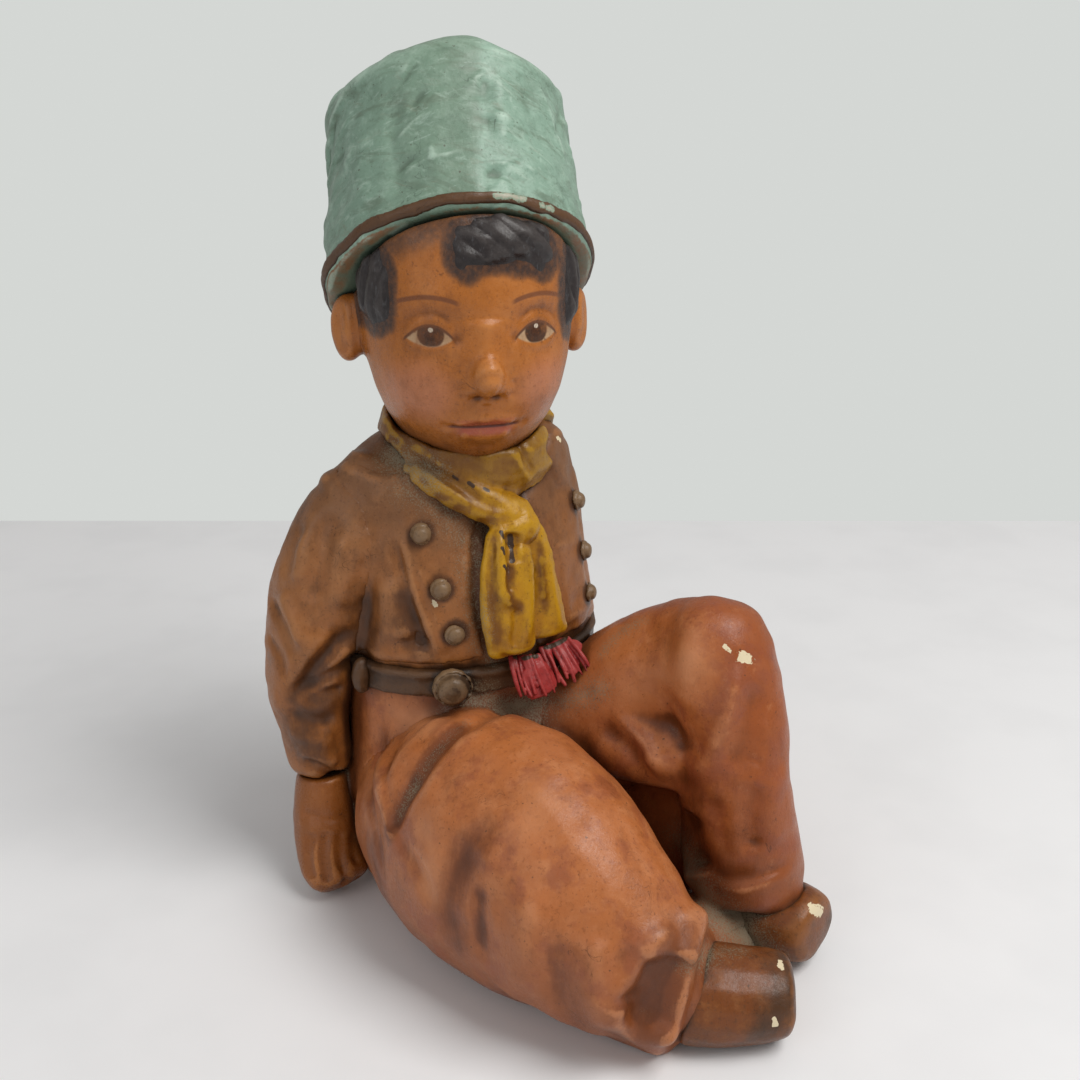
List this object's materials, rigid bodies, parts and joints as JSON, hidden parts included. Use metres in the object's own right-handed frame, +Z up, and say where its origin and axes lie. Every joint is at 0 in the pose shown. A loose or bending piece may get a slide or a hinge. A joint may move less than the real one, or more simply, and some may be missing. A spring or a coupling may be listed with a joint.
{
  "type": "seated figure ornament",
  "caption": "Painted plaster ornament of a seated child in a tall cap, buttoned jacket, knotted scarf, wide trousers and clogs, resting on a flat base.",
  "frame": {"origin": "on the surface that the figure sits on, under the middle of its trunk", "axes": "+Z up; the figure faces -Y; its right side is at -X"},
  "size_m": [0.1374, 0.2011, 0.2717],
  "materials": {
    "jacket_paint": "dusty brown paint on plaster",
    "trouser_paint": "satin terracotta paint on plaster",
    "skin_paint": "satin flesh paint on plaster",
    "cap_paint": "dry-brushed green paint on plaster",
    "trim_paint": "dark brown paint on plaster",
    "hair_paint": "black-brown paint on plaster",
    "scarf_paint": "mustard paint on plaster",
    "fringe_paint": "crimson paint on plaster",
    "button_paint": "grey-brown paint on plaster",
    "clog_paint": "brown paint on plaster"
  },
  "bodies": {
    "root": {"jacket_body": "jacket_paint", "right_front_panel": "jacket_paint", "left_front_panel": "jacket_paint", "right_sleeve": "jacket_paint", "left_sleeve": "jacket_paint", "right_hand": "skin_paint", "left_hand": "skin_paint", "belt": "trim_paint", "belt_clasp": "button_paint", "belt_keeper": "trim_paint", "right_button_1": "button_paint", "right_button_2": "button_paint", "right_button_3": "button_paint", "left_button_1": "button_paint", "left_button_2": "button_paint", "left_button_3": "button_paint", "trouser_seat": "trouser_paint", "right_trouser_leg": "trouser_paint", "left_trouser_leg": "trouser_paint", "leg_web": "trouser_paint", "right_clog": "clog_paint", "left_clog": "clog_paint", "head": "skin_paint", "right_ear": "skin_paint", "left_ear": "skin_paint", "hair_forelock": "hair_paint", "hair_right_side": "hair_paint", "hair_left_side": "hair_paint", "hair_nape": "hair_paint", "cap_crown": "cap_paint", "cap_cord": "trim_paint", "scarf_collar": "scarf_paint", "scarf_wrap": "scarf_paint", "scarf_knot": "scarf_paint", "scarf_front_tail": "scarf_paint", "scarf_back_tail": "scarf_paint", "scarf_front_fringe": "fringe_paint", "scarf_back_fringe": "fringe_paint"}
  },
  "joints": []
}
